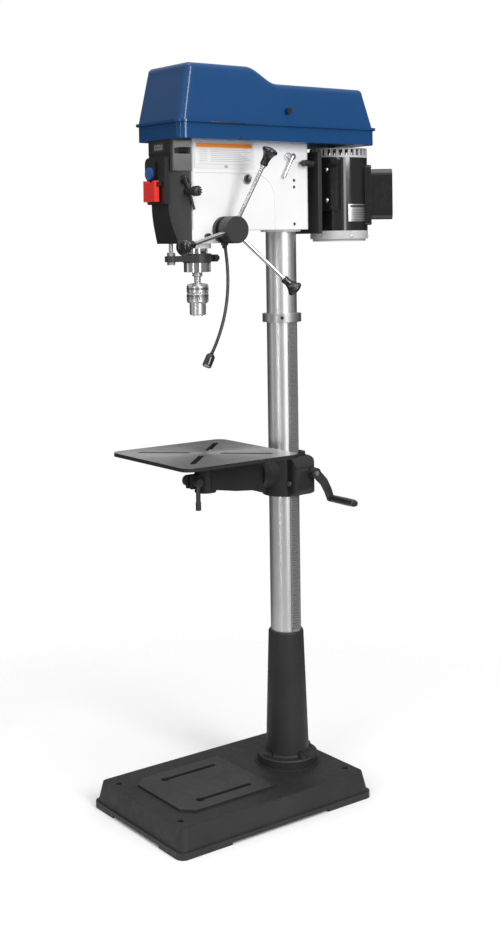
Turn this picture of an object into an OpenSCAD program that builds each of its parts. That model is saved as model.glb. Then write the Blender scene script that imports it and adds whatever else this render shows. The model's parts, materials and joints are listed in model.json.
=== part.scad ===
// Floor-standing drill press. Millimetres. X is the operator's right, -Y is the front, Z is up.
// The origin is on the floor, in the middle of the four floor bolt holes.

/* [Base] */
// Width of the base casting along X
base_w = 386; // [360:1:420]
// Depth of the base casting along Y
base_d = 568; // [540:1:620]
// Height of the base plate above the floor
base_h = 63; // [55:1:75]
// Spacing of the floor bolts along X
floor_bolt_x = 268; // [250:1:280]
// Spacing of the floor bolts along Y
floor_bolt_y = 490; // [460:1:500]
// Diameter of a floor bolt hole
floor_hole_d = 14; // [10:1:18]

/* [Column] */
// Diameter of the column
column_d = 76; // [70:1:80]
// Distance of the column axis behind the middle of the base
column_y = 170; // [160:1:176]
// Height of the top of the cast column base
socket_top = 396; // [360:1:420]
// Height of the underside of the rack collar
collar_z = 1170; // [1150:1:1180]
// Pitch module of the gears and racks
gear_m = 2; // [1.8:0.1:2]

/* [Table] */
// Side of the square table
table_w = 330; // [300:1:334]
// Height of the table's working face
table_z = 865; // [860:1:870]
// Thickness of the table plate
table_t = 9; // [8:1:11]
// Distance of the table's middle in front of the base's middle
table_y = 70; // [66:1:72]

/* [Head] */
// Distance of the spindle axis in front of the base's middle
spindle_y = 84; // [82:1:86]
// Width of the head casting
head_w = 120; // [116:1:124]
// Height of the head's underside
head_z = 1399; // [1398:1:1400]
// Diameter of the quill
quill_d = 50; // [48:1:52]
// Travel of the quill
quill_travel = 120; // [90:1:120]

/* [Belt cover] */
// Width of the belt cover over its lip
cover_w = 205; // [200:1:210]
// Height of the seam between tray and lid
seam_z = 1653; // [1650:1:1656]
// Height of the lid over the spindle
lid_top = 1787; // [1780:1:1795]
// Height of the lid over the motor
lid_low = 1750; // [1745:1:1755]

/* [Motor] */
// Diameter of the motor
motor_d = 148; // [140:1:150]
// Distance of the motor axis behind the base's middle
motor_y = 361; // [359:1:363]

/* [Hidden] */
$fn = 48;

fit = 0.05;                          // radial clearance of a running or location fit
gap = 0.4;                           // clearance between parts that only pass each other
col_r = column_d / 2;
head_r = head_w / 2;
head_top = 1610;
face_r = head_r - 1.5;               // half width over the recessed side panels
head_front = -137;
head_rear = 217;
quill_r = quill_d / 2;
quill_foot = 1300;                   // lower end of the quill, fully raised
quill_top = 1520;
boss_foot = 1356;                    // lower end of the quill barrel
barrel_foot = 1368;                  // lower face of the wide part of the quill barrel
feed_teeth = 14;
feed_y = -spindle_y + quill_r - 2.5 + gear_m * feed_teeth / 2;
feed_z = head_z;
pinion_teeth = 12;
pinion_r = gear_m * pinion_teeth / 2;
pad_w = 236;                         // raised pad on the base, with its two slots
pad_h = 5;
pad_front = -218;
pad_rear = 37;
slot_x = 75;
slot_y0 = -150;
slot_y1 = -8;
rack_in = col_r + 0.3;               // back of the rack
rack_pitch_x = rack_in + 6;          // pitch line of the rack
rack_w = 22;
bracket_bot = 739;
bracket_top = 842;
bracket_r = 54;
worm_y = column_y + 27;
worm_z = 798;
wheel_x = rack_pitch_x + pinion_r;
wheel_teeth = 16;
wheel_r = gear_m * wheel_teeth / 2;
wheel_z = worm_z - wheel_r - 9.5;
tilt_z = worm_z;
arm_face = 98;                       // plane in which the table arm meets the bracket
rack_z0 = socket_top + 1;
rack_z1 = collar_z - 0.5;
crank_r = 80;                        // throw of the crank
crank_angle = 57;                    // the crank hangs back and down from its shaft
crank_x = wheel_x + 26;
grip_y = worm_y + crank_r * cos(crank_angle);
grip_z = worm_z - crank_r * sin(crank_angle);
lock_x = -bracket_r - 8;             // the bolt that clamps the bracket on the column
lock_z = 794;
arm_clamp_y = -table_y - 36;         // the bolt that clamps the table in its arm
arm_clamp_z = 800;
boss_z = 841;                        // underside of the boss below the table

front_mid = (head_front + head_rear) / 2;
rod_front_y = -158;                  // axis of the depth stop rod
lever_y = 157;                       // pivot of the belt tension lever
lever_z = 1577;
lock_y = 196;                        // screw that locks the motor slide
switch_y = 23;                       // lamp switch
switch_z = 1521;
ring_z = quill_foot + 22;            // lower face of the quill collar
chuck_r = 26;
jaw_tilt = 10;                       // angle of a chuck jaw from the spindle axis
jaw_low = 1198;
jaw_out = 11.3;                      // distance of a jaw's axis from the spindle axis at its tip
jaw_r = 3.1;
hub_x = 97;                          // where the axes of the three feed rods meet
rod_lean = 20;                       // the rods lean away from the head by this angle
rod_turn = 72;                       // angle of the first rod from +Y towards +Z

cover_front = -187;                  // front cover
chin_y = -167;                       // front of the cover's lower edge
cover_back = head_front - gap;
key_x = 64;                          // chuck key in its clip
key_y = -147;
key_z = 1489;
key_lean = 18;
box_back = cover_front - gap;        // switch box
button_x = -19;
button_z = 1532;
button_r = 15;
paddle_top = 1515;
paddle_foot = 1466;
hinge_y = -207;                      // hinge of the stop paddle
hinge_z = paddle_top - 8;
lamp_root = [34, -27, barrel_foot];
lamp_tip = [59, -88, 1106];
lamp_dir = [-6, -16, -33];
neck = [lamp_root - [0, 0, 2], [52, -22, 1270], [76, -50, 1190], lamp_tip];

motor_r = motor_d / 2;
motor_bot = 1368;
motor_top = 1604;
bell_z = 1395;                       // top of the lower end bell
vent_z = 1580;                       // foot of the upper end bell
plate_y = 242;                       // front of the motor plate
lip_h = 6;                           // lip round the belt cover's seam
lip_front = -196;
lip_rear = 411;
lip_mid = (lip_front + lip_rear) / 2;
lip_d = lip_rear - lip_front;
hinge_x = -cover_w / 2 - 5;          // hinge pins of the lid
tray_foot = head_top;
idler_y = 128;
pulley_foot = 1619;                  // underside of the lowest pulley step
step_h = 20;                         // height of one pulley step
spindle_steps = [65, 61, 56, 50.5];
idler_steps = [47, 51, 56, 61.5];
motor_steps = [33, 29, 24, 18.5];
front_level = 1;                     // pulley step that carries the front belt
rear_level = 2;                      // pulley step that carries the rear belt
slide_z = 1562;                      // height of the two motor slide bars
slide_x = 38;
slide_d = 18;

black = [0.09, 0.09, 0.10];
dark = [0.16, 0.16, 0.17];
steel = [0.72, 0.73, 0.74];
chrome = [0.86, 0.87, 0.88];
white = [0.93, 0.93, 0.92];
blue = [0.05, 0.18, 0.42];
iron = [0.42, 0.43, 0.44];

// ---------- helpers ----------
module rounded(w, d, r) {
  square([w - 2 * r, d], center = true);
  square([w, d - 2 * r], center = true);
  for (sx = [-1, 1], sy = [-1, 1]) translate([sx * (w / 2 - r), sy * (d / 2 - r)]) circle(r);
}
module slab(w, d, h, r) { linear_extrude(h) rounded(w, d, r); }
module block(lo, hi) { translate(lo) cube(hi - lo); }
module rod_x(x0, x1, y, z, r) { translate([x0, y, z]) rotate([0, 90, 0]) cylinder(h = x1 - x0, r = r); }
module rod_y(y0, y1, x, z, r) { translate([x, y0, z]) rotate([-90, 0, 0]) cylinder(h = y1 - y0, r = r); }
module rod_z(z0, z1, x, y, r) { translate([x, y, z0]) cylinder(h = z1 - z0, r = r); }
module hex_z(z0, z1, x, y, af) { translate([x, y, z0]) cylinder(h = z1 - z0, d = af / cos(30), $fn = 6); }
// Profile given as [y, z] points, extruded along X between x0 and x1
module side_prism(x0, x1, pts) {
  translate([x0, 0, 0]) rotate([90, 0, 90]) linear_extrude(x1 - x0) polygon(pts);
}
function arc(cx, cy, r, a0, a1, n = 8) =
  [for (i = [0 : n]) let (a = a0 + (a1 - a0) * i / n) [cx + r * cos(a), cy + r * sin(a)]];
function involute(rb, t) = [rb * (cos(t) + t * PI / 180 * sin(t)), rb * (sin(t) - t * PI / 180 * cos(t))];
function turned(p, a) = [p[0] * cos(a) - p[1] * sin(a), p[0] * sin(a) + p[1] * cos(a)];
// Flank of one involute tooth from the root to the tip, thinned by the backlash
function flank(m, n, back) =
  let (rp = m * n / 2, rb = rp * cos(20), rt = rp + 0.7 * m, t1 = sqrt(pow(rt / rb, 2) - 1) * 180 / PI)
  let (half = 90 / n - back / rp * 90 / PI, inv20 = (tan(20) - 20 * PI / 180) * 180 / PI)
  [for (i = [0 : 4]) turned(involute(rb, t1 * i / 4), -half - inv20)];
module gear(m, n, h, back = 0.25) {
  f = flank(m, n, back);
  root = m * n / 2 - 1.25 * m;
  linear_extrude(h) {
    circle(root);
    for (i = [0 : n - 1]) rotate(i * 360 / n)
      polygon(concat([[root * 0.8, f[0][1]]], f,
        [for (j = [4 : -1 : 0]) [f[j][0], -f[j][1]]], [[root * 0.8, -f[0][1]]]));
  }
}
// Rack as [depth, run] points: teeth point to +depth, with a gap centred on run 0
function rack_profile(m, first, last, back, body) =
  let (p = PI * m, w = p / 4 - back / 2, k = tan(20) * m)
  concat([[-body, first * p]],
    [for (i = [first : last]) each let (c = (i + 0.5) * p)
      [[-1.25 * m, c - w - 1.25 * k], [0.7 * m, c - w + 0.7 * k],
       [0.7 * m, c + w - 0.7 * k], [-1.25 * m, c + w + 1.25 * k]]],
    [[-body, (last + 1) * p]]);
function unit(v) = v / norm(v);
// Ring of section points [a, b] at p, across the direction t; a lies along side
function ring(p, t, side, sec) =
  let (u = unit(side - (side * t) * t), v = cross(t, u)) [for (q = sec) p + q[0] * u + q[1] * v];
// Solid swept through rings of equal length; a closed one joins its last ring to its first
module swept(rings, closed = false) {
  n = len(rings);
  m = len(rings[0]);
  last = closed ? n - 1 : n - 2;
  sides = [for (i = [0 : last], j = [0 : m - 1])
    let (k = (i + 1) % n, l = (j + 1) % m) [i * m + j, k * m + j, k * m + l, i * m + l]];
  caps = closed ? [] : [[for (j = [0 : m - 1]) j], [for (j = [m - 1 : -1 : 0]) (n - 1) * m + j]];
  polyhedron([for (r = rings) each r], concat(sides, caps), convexity = 6);
}
// Points child's +Z along a direction
module along(d) { rotate([0, acos(d[2] / norm(d)), atan2(d[1], d[0])]) children(); }

// ---------- stand ----------
module draft_box(w0, d0, z0, w1, d1, z1, r) {
  hull() {
    translate([0, 0, z0]) slab(w0, d0, 0.01, r, $fn = 32);
    translate([0, 0, z1 - 0.01]) slab(w1, d1, 0.01, r * 0.8, $fn = 32);
  }
}
module base() {
  pad_cut = 28;
  color(black) difference() {
    union() {
      difference() {
        union() {
          slab(base_w, base_d, 16, 20);
          draft_box(base_w - 10, base_d - 10, 15, base_w - 30, base_d - 30, base_h, 18);
        }
        draft_box(base_w - 18, base_d - 18, -1, base_w - 48, base_d - 48, base_h - 8, 14);
      }
      translate([0, 0, base_h - 4]) linear_extrude(pad_h + 4) polygon([
        [-pad_w / 2, pad_rear], [pad_w / 2, pad_rear], [pad_w / 2, pad_front + pad_cut],
        [pad_w / 2 - pad_cut, pad_front], [pad_cut - pad_w / 2, pad_front],
        [-pad_w / 2, pad_front + pad_cut]]);
      rod_z(base_h - 4, base_h + 3, 0, column_y, 82);
      for (sx = [-1, 1], sy = [-1, 1])
        rod_z(0, base_h - 3, sx * floor_bolt_x / 2, sy * floor_bolt_y / 2, 17);
      for (x = [-38, 38]) block([x - 4, -266, 22], [x + 4, 266, base_h - 4]);
      rod_z(30, base_h - 4, 0, column_y, 78);
    }
    for (sx = [-1, 1], sy = [-1, 1])
      rod_z(-1, base_h + 1, sx * floor_bolt_x / 2, sy * floor_bolt_y / 2, floor_hole_d / 2);
    for (sx = [-1, 1]) {
      block([sx * slot_x - 6, slot_y0, 30], [sx * slot_x + 6, slot_y1, base_h + 9]);
      rod_z(30, base_h + 9, sx * slot_x, slot_y0, 10);
      rod_z(30, base_h + 9, sx * slot_x, slot_y1, 6);
    }
    rod_z(29, base_h + 5, 0, column_y, 30);
    for (a = [0 : 90 : 270]) translate([0, column_y, 0]) rotate(a) rod_z(29, base_h + 5, 62, 0, 6 + fit);
    block([-100, -base_d, -1], [100, base_d, 6]);
    block([-base_w, -142, -1], [base_w, 142, 6]);
  }
}
module flange_bolts() {
  color(dark) for (a = [0 : 90 : 270]) translate([0, column_y, 0]) rotate(a) {
    rod_z(40, 86, 62, 0, 6);
    hex_z(86, 93, 62, 0, 18);
  }
}
module column_base() {
  foot = base_h + 3;
  color(black) difference() {
    translate([0, column_y, foot]) rotate_extrude($fn = 72) polygon(concat(
      [[col_r + fit, 0], [76, 0], [76, 17], [74, 20], [60, 20]],
      arc(60, 26, 6, -90, -180, 4),
      [[col_r + 6, socket_top - foot - 4], [col_r + 4, socket_top - foot],
       [col_r + fit, socket_top - foot]]));
    for (a = [0 : 90 : 270])
      translate([0, column_y, 0]) rotate(a) rod_z(foot - 1, foot + 30, 62, 0, 6 + fit);
    for (a = [0 : 90 : 270]) translate([0, column_y, 0]) rotate(a) rod_z(foot + 20, foot + 34, 62, 0, 11.5);
    translate([0, column_y, 329]) rotate([0, 90, -4]) rod_z(col_r - 2, 60, 0, 0, 4 + fit);
  }
}
module column() {
  color(steel) translate([0, column_y, base_h + 3]) difference() {
    cylinder(h = 1536 - base_h - 3, r = col_r, $fn = 96);
    translate([0, 0, -1]) cylinder(h = 1540 - base_h, r = col_r - 5, $fn = 96);
  }
}
module rack() {
  p = PI * gear_m;
  first = ceil((rack_z0 - wheel_z) / p + 0.6);
  last = floor((rack_z1 - wheel_z) / p - 0.6);
  pts = rack_profile(gear_m, first, last, 0.25, rack_pitch_x - rack_in);
  color(steel) translate([rack_pitch_x, column_y + rack_w / 2, wheel_z])
    rotate([90, 0, 0]) linear_extrude(rack_w) union() {
    polygon(pts);
    translate([-(rack_pitch_x - rack_in), rack_z0 - wheel_z]) square([4, rack_z1 - rack_z0]);
  }
}
module rack_collar() {
  color(steel) translate([0, column_y, 0]) difference() {
    rod_z(collar_z, collar_z + 21, 0, 0, 48.5);
    rod_z(collar_z - 1, collar_z + 22, 0, 0, col_r + fit);
    translate([0, 0, collar_z + 11]) rotate([0, 90, -37]) rod_z(col_r - 2, 60, 0, 0, 4 + fit);
  }
}
module set_screw(r0, r1) {
  rotate([0, 90, 0]) difference() {
    rod_z(r0, r1, 0, 0, 4);
    hex_z(r1 - 4, r1 + 1, 0, 0, 4);
  }
}
module set_screws() {
  color(dark) {
    translate([0, column_y, 329]) rotate(-4) set_screw(col_r + 0.1, col_r + 8);
    translate([0, column_y, collar_z + 11]) rotate(-37) set_screw(col_r + 0.1, 47.5);
    for (z = [1412, 1503, 1519]) translate([0, column_y - 3, z]) set_screw(col_r + 0.2, head_r - 2);
  }
}

// ---------- table lift ----------
// Rounded case over the worm and its wheel
module gear_case() {
  x1 = wheel_x + 23;
  foot = bracket_bot + 1;
  y0 = column_y - 26;
  y1 = worm_y + 14;
  intersection() {
    translate([0, y1, 0]) rotate([90, 0, 0]) linear_extrude(y1 - y0) polygon(concat([[20, foot]],
      arc(x1 - 28, foot + 28, 28, -75, 0, 6), [[x1, worm_z + 6]],
      arc(x1 - 32, worm_z + 10, 30, 0, 75, 6), [[20, worm_z + 42]]));
    translate([x1 - 65, (y0 + y1) / 2, foot - 1]) slab(130, y1 - y0, 130, 14);
    translate([0, (y0 + y1) / 2, (foot + worm_z + 42) / 2]) rotate([0, 90, 0])
      slab(worm_z + 42 - foot, y1 - y0 + 1, x1 + 1, 12);
  }
}
module table_bracket() {
  color(black) difference() {
    union() {
      translate([0, column_y, bracket_bot])
        cylinder(h = bracket_top - bracket_bot, r = bracket_r, $fn = 72);
      rod_y(arm_face, column_y - 20, 0, tilt_z, 38);
      gear_case();
      rod_x(wheel_x + 10, wheel_x + 25.5, worm_y, worm_z, 14);
      for (s = [-1, 1])
        block([-bracket_r - 18, column_y + s * 11 - 7, bracket_bot + 6],
              [-40, column_y + s * 11 + 7, bracket_top - 22]);
      rod_z(bracket_top - 20, bracket_top + 4, wheel_x - 18, worm_y, 9);
    }
    rod_z(bracket_bot - 1, bracket_top + 5, 0, column_y, col_r + fit);
    block([20, column_y - rack_w / 2 - 0.5, bracket_bot - 1],
          [rack_pitch_x + 3, column_y + rack_w / 2 + 0.5, bracket_top + 1]);
    block([-bracket_r - 20, column_y - 4, bracket_bot - 1], [-col_r + 4, column_y + 4, bracket_top + 1]);
    rod_y(column_y - 13, column_y + 13, wheel_x, wheel_z, pinion_r + 3);
    rod_y(column_y + 12, worm_y + 13, wheel_x, wheel_z, wheel_r + 2.5);
    rod_y(column_y - 30, column_y, wheel_x, wheel_z, 6 + fit);
    rod_x(wheel_x - 16, wheel_x + 17, worm_y, worm_z, 8.5);
    rod_x(wheel_x - 24, wheel_x + 30, worm_y, worm_z, 6 + fit);
    rod_y(column_y - 60, column_y + 60, lock_x, lock_z, 5 + fit);
    rod_y(arm_face - 1, column_y - 44, 0, tilt_z, 8 + fit);
  }
}
module bracket_lock_lever() {
  color(dark) translate([lock_x, column_y, lock_z]) {
    rod_y(-24, 33, 0, 0, 5);
    rod_y(19, 45, 0, 0, 10);
    translate([0, 38, 0]) rotate([204, 0, 0]) {
      rod_z(8, 80, 0, 0, 5);
      translate([0, 0, 86]) sphere(r = 11);
    }
    translate([0, -18.5, 0]) rotate([90, 0, 0]) cylinder(h = 8, d = 19, $fn = 6);
  }
}
module elevating_gear() {
  color(steel) translate([wheel_x, 0, wheel_z]) rotate([90, 0, 0]) {
    translate([0, 0, -column_y - 10]) gear(gear_m, pinion_teeth, 20);
    rod_z(-column_y - 20, -column_y + 29, 0, 0, 6);
    rod_z(-worm_y - 8, -column_y - 10, 0, 0, 8);
    translate([0, 0, -worm_y - 6]) gear(gear_m, wheel_teeth, 12);
  }
}
module worm_shaft() {
  r = 7.2;
  color(steel) {
    rod_x(wheel_x - 22, wheel_x + 43, worm_y, worm_z, 6);
    translate([wheel_x - 14, worm_y, worm_z]) rotate([0, 90, 0]) rotate_extrude()
      polygon(concat([[1, 0], [5.9, 0]],
        [for (i = [0 : 3], q = [[5.9, 2], [r, 3], [r, 5], [5.9, 6]]) [q[0], q[1] + i * 6.2]],
        [[5.9, 28], [1, 28]]));
  }
}
// Station of the curved crank arm, from the shaft to the grip
module crank_link(i) {
  out = [0, 0.3, 0.45, cos(crank_angle)][i] * crank_r;
  down = [0, 0.3, 0.575, sin(crank_angle)][i] * crank_r;
  rod_x(crank_x + 7 + i, crank_x + 15 + i, worm_y + out, worm_z - down, 11 - 0.7 * i);
}
module crank_arm() {
  color(dark) difference() {
    union() {
      rod_x(crank_x, crank_x + 15, worm_y, worm_z, 13);
      for (i = [0 : 2]) hull() {
        crank_link(i);
        crank_link(i + 1);
      }
    }
    rod_x(crank_x - 1, crank_x + 25, worm_y, worm_z, 6 + fit);
  }
  color(steel) {
    rod_x(crank_x + 14, crank_x + 109, grip_y, grip_z, 4);
    rod_x(crank_x + 105.5, crank_x + 109, grip_y, grip_z, 7);
  }
}
module crank_grip() {
  color(black) translate([crank_x + 18.5, grip_y, grip_z]) rotate([0, 90, 0]) rotate_extrude() polygon(
    [[4 + fit, 0], [8, 0], [9, 3], [9.5, 60], [9, 84], [7.5, 86.5], [4 + fit, 86.5]]);
}

// ---------- table ----------
module table_arm() {
  y0 = -table_y;
  color(black) difference() {
    union() {
      rod_z(771, boss_z - gap, 0, y0, 26);
      side_prism(-28, 28, [[y0, 779], [y0 + 40, 773], [y0 + 70, 768], [arm_face - 40, 763],
        [arm_face - 20, 755], [arm_face - 8, 752], [arm_face - 8, 832], [y0, 836]]);
      rod_y(arm_face - 16, arm_face - gap, 0, tilt_z, 38);
      for (s = [-1, 1]) block([s * 8.5 - 4.5, y0 - 48, 784], [s * 8.5 + 4.5, y0 - 10, 816]);
    }
    rod_z(760, 842, 0, y0, 20 + fit);
    block([-4, y0 - 60, 760], [4, y0, 842]);
    block([-19, y0 + 36, 740], [19, arm_face - 18, 812]);
    rod_x(-40, 40, arm_clamp_y, arm_clamp_z, 5 + fit);
    rod_y(arm_face - 30, arm_face + 1, 0, tilt_z, 8 + fit);
  }
}
module tilt_bolt() {
  color(dark) {
    rod_y(arm_face - 22, column_y - 45, 0, tilt_z, 8);
    translate([0, arm_face - 31, tilt_z]) rotate([-90, 0, 0]) cylinder(h = 12.5, d = 24 / cos(30), $fn = 6);
  }
}
module table() {
  under = table_z - table_t;
  color(iron) translate([0, -table_y, 0]) difference() {
    union() {
      translate([0, 0, under]) slab(table_w, table_w, table_t, 25);
      difference() {
        translate([0, 0, under - 8]) slab(table_w - 80, table_w - 80, 9, 20);
        translate([0, 0, under - 9]) slab(table_w - 96, table_w - 96, 9.01, 14);
      }
      rod_z(boss_z, under + 1, 0, 0, 42);
      rod_z(775, under, 0, 0, 20);
    }
    for (a = [45 : 90 : 315]) rotate(a) {
      block([44, -7, under - 9], [158, 7, table_z + 1]);
      rod_z(under - 9, table_z + 1, 44, 0, 7);
      rod_z(under - 9, table_z + 1, 158, 0, 7);
    }
  }
}
module table_lock_lever() {
  x = 22;
  color(dark) translate([0, arm_clamp_y, arm_clamp_z]) {
    rod_x(-14, x, 0, 0, 5);
    rod_x(-27, -13.5, 0, 0, 13);
    rod_x(13.5, x + 8, 0, 0, 10);
    rod_z(-60, -5, x, 0, 5.5);
    rod_z(-66, -46, x, 0, 6.5);
  }
}

// ---------- head ----------
module panel_recess(s) {
  depth = head_r - face_r;
  x0 = s > 0 ? face_r : -head_r - 1;
  block([x0, head_front - 1, head_z - 1], [x0 + depth + 1, 44, 1534]);
  block([x0, head_front - 1, head_z - 1], [x0 + depth + 1, 106, 1472]);
  rod_x(x0, x0 + depth + 1, 44, 1472, 62);
}
module head_casting() {
  color(white) difference() {
    union() {
      translate([0, front_mid, head_z]) slab(head_w, head_rear - head_front, head_top - head_z, 14);
      block([-face_r, head_front, barrel_foot], [face_r, -8, head_z + 1]);
      rod_z(boss_foot, barrel_foot + 1, 0, -spindle_y, 34);
      rod_z(head_z - 5, head_z + 1, 0, column_y, 50);
      block([-14, -165.5, 1384], [14, head_front + 1, 1398]);
    }
    panel_recess(1);
    panel_recess(-1);
    block([-50, -14, head_z + 12], [50, 108, head_top + 1]);
    difference() {
      block([-50, head_front + 9, head_z + 21], [50, -13, 1545]);
      rod_z(head_z, 1546, 0, -spindle_y, 36);
    }
    rod_z(boss_foot - 1, 1532, 0, -spindle_y, quill_r + fit);
    rod_z(1531, head_top + 1, 0, -spindle_y, 17.5 + fit);
    rod_z(head_z - 6, 1537, 0, column_y, col_r + fit);
    rod_z(1566, head_top + 1, 0, idler_y, 10 + fit);
    rod_x(-head_r - 1, head_r + 1, feed_y, feed_z, 10 + fit);
    rod_x(-16, head_r + 1, feed_y, feed_z, 16.4);
    for (s = [-1, 1]) rod_y(86, head_rear + 1, s * slide_x, slide_z, slide_d / 2 + fit);
    rod_x(slide_x, head_r + 1, lock_y, slide_z, 5 + fit);
    rod_x(20, head_r + 1, -spindle_y - 11, 1384, 4 + fit);
    for (z = [1412, 1503, 1519]) rod_x(col_r - 2, head_r + 1, column_y - 3, z, 4 + fit);
    rod_x(40, head_r + 1, switch_y, switch_z, 6.3);
    rod_x(44, head_r + 1, lever_y, lever_z, 5 + fit);
    rod_z(barrel_foot - 1, barrel_foot + 14, lamp_root[0], lamp_root[1], 6 + fit);
    rod_z(1383, 1399, 0, rod_front_y, 5 + fit);
  }
}
module quill() {
  y = -spindle_y;
  tooth_y = y + quill_r - 2.5;
  color(chrome) difference() {
    union() {
      rod_z(quill_foot + 20, quill_top, 0, y, quill_r);
      rod_z(quill_foot, quill_foot + 21.5, 0, y, 32);
    }
    rod_z(quill_foot - 1, quill_top + 1, 0, y, 13);
    rod_z(quill_foot - 1, quill_foot + 16, 0, y, 21);
    rod_z(quill_top - 15, quill_top + 1, 0, y, 17);
    difference() {
      block([-15, tooth_y - 1.25 * gear_m, feed_z - 18], [15, tooth_y + 6, quill_top + 1]);
      side_prism(-16, 16,
        [for (q = rack_profile(gear_m, -3, 20, 0.25, 6)) [tooth_y + q[0], feed_z + q[1]]]);
    }
  }
}
module quill_collar() {
  y = -spindle_y;
  z0 = ring_z;
  z1 = z0 + 22;
  color(black) difference() {
    union() {
      rod_z(z0, z1, 0, y, 34);
      hull() {
        rod_z(z0 + 3, z0 + 17, 0, y - 20, 18);
        rod_z(z0 + 3, z0 + 17, 0, rod_front_y, 15);
      }
      block([-14, y + 28, z0 + 2], [14, y + 52, z1 - 3]);
    }
    rod_z(z0 - 1, z1 + 1, 0, y, quill_r + fit);
    rod_z(z0 - 1, z1 + 1, 0, rod_front_y, 5 + fit);
    block([-1.5, y + 20, z0 - 1], [1.5, y + 60, z1 + 1]);
    rod_x(-20, 20, y + 43, z0 + 11, 4 + fit);
  }
  color(dark) {
    rod_x(-14.2, 16, y + 43, z0 + 11, 4);
    translate([14.2, y + 43, z0 + 11]) rotate([0, 90, 0]) cylinder(h = 9, d = 15, $fn = 6);
    for (s = [-1, 1]) hex_z(z1, z1 + 6, s * 30, y, 8);
  }
}
module depth_rod() {
  color(steel) rod_z(ring_z - 4, 1560, 0, rod_front_y, 5);
  color(dark) {
    difference() {
      union() {
        hex_z(ring_z + 17.2, ring_z + 25, 0, rod_front_y, 17);
        hex_z(ring_z - 4, ring_z + 2.8, 0, rod_front_y, 17);
      }
      rod_z(ring_z - 10, ring_z + 40, 0, rod_front_y, 5 - 0.01);
    }
  }
}
module depth_nut() {
  z = 1398.5 + quill_travel;
  color(dark) difference() {
    rod_z(z, z + 12, 0, rod_front_y, 9);
    rod_z(z - 1, z + 13, 0, rod_front_y, 5 + fit);
  }
}
module spindle() {
  color(steel) translate([0, -spindle_y, 0]) rotate_extrude() polygon([
    [0, 1237], [6.5, 1237], [7.5, 1276], [8, 1279], [8, 1289],
    [12, 1290], [12, 1299.5], [10, 1300], [10, 1720], [0, 1720]]);
}
module bearing(z0, z1, r0, r1) {
  difference() {
    rod_z(z0, z1, 0, -spindle_y, r1);
    rod_z(z0 - 1, z1 + 1, 0, -spindle_y, r0);
  }
}
module spindle_bearings() {
  color(steel) {
    bearing(quill_foot + 1, quill_foot + 15.8, 10 + fit, 21 - fit);
    bearing(quill_top - 14.8, quill_top - 0.5, 10 + fit, 17 - fit);
  }
}

// ---------- chuck ----------
module at_jaw(i) {
  translate([0, -spindle_y, jaw_low]) rotate(i * 120 + 30)
    translate([jaw_out, 0, 0]) rotate([0, jaw_tilt, 0]) children();
}
module chuck_body() {
  color(steel) difference() {
    translate([0, -spindle_y, 0]) rotate_extrude($fn = 64) polygon([
      [0, 1197.5], [17.5, 1197.5], [19.5, 1200], [19.5, 1250], [24.5, 1250],
      [chuck_r, 1252], [chuck_r, 1267], [23, 1271.5], [11, 1273.5], [0, 1273.5]]);
    translate([0, -spindle_y, 0]) rotate_extrude()
      polygon([[0, 1236], [6.6, 1236], [7.6, 1276], [0, 1276]]);
    rod_z(1190, 1226, 0, -spindle_y, 8);
    for (i = [0 : 2]) at_jaw(i) translate([0, 0, -8]) cylinder(h = 36, r = jaw_r + fit);
  }
}
module chuck_sleeve() {
  teeth = 30;
  color(dark) difference() {
    translate([0, -spindle_y, 0]) rotate_extrude($fn = 64) polygon([
      [19.5 + fit, 1226], [22, 1226], [chuck_r, 1230],
      [chuck_r, 1247.5], [24.5, 1249.6], [19.5 + fit, 1249.6]]);
    for (i = [0 : teeth - 1]) translate([0, -spindle_y, 1225]) rotate(i * 360 / teeth) rotate([0, -25, 0])
      block([21, -0.9, -3], [30, 0.9, 3.4]);
  }
}
module chuck_jaw(i) {
  color(steel) at_jaw(i) {
    cylinder(h = 26, r = jaw_r);
    translate([0, 0, -3]) cylinder(h = 3, r1 = 1.6, r2 = jaw_r);
  }
}
module chuck_jaw_1() { chuck_jaw(0); }
module chuck_jaw_2() { chuck_jaw(1); }
module chuck_jaw_3() { chuck_jaw(2); }

// ---------- quill feed ----------
module feed_shaft() {
  color(steel) {
    rod_x(-head_r - 20, 100, feed_y, feed_z, 10);
    translate([-14, feed_y, feed_z]) rotate([90, 0, 90]) gear(gear_m, feed_teeth, 28);
  }
}
module feed_dial() {
  color(black) difference() {
    union() {
      rod_x(face_r + gap, 70, feed_y, feed_z, 32);
      rod_x(17, face_r + gap + 1, feed_y, feed_z, 16.4 - fit);
    }
    rod_x(10, 80, feed_y, feed_z, 10 + fit);
  }
}
module at_feed_rod(i) {
  translate([hub_x, feed_y, feed_z])
    rotate([rod_turn + 120 * i, 0, 0]) rotate([0, 0, -rod_lean]) children();
}
module feed_hub() {
  color(black) difference() {
    union() {
      rod_x(70.4, 84, feed_y, feed_z, 20);
      translate([82, feed_y, feed_z]) rotate([0, 90, 0]) rotate_extrude() polygon(
        [[0, 0], [31, 0], [32, 1], [32, 33], [31, 35], [0, 35]]);
    }
    rod_x(70, 100.2, feed_y, feed_z, 10 + fit);
    for (i = [0 : 2]) at_feed_rod(i) rod_y(15, 50, 0, 0, 5 + fit);
  }
}
module feed_rods() {
  color(chrome) for (i = [0 : 2]) at_feed_rod(i) rod_y(16, 178, 0, 0, 5);
}
module feed_knobs() {
  color(black) for (i = [0 : 2]) at_feed_rod(i) rotate([-90, 0, 0]) rotate_extrude() polygon(concat(
    [[0, 178.5], [5 + fit, 178.5], [5 + fit, 166], [8.5, 166],
         [9.5, 168], [10, 178], [12, 188], [16.5, 198]],
    arc(14.5, 203, 4.5, -20, 90, 5), [[8, 210.5], [0, 212]]));
}
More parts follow.
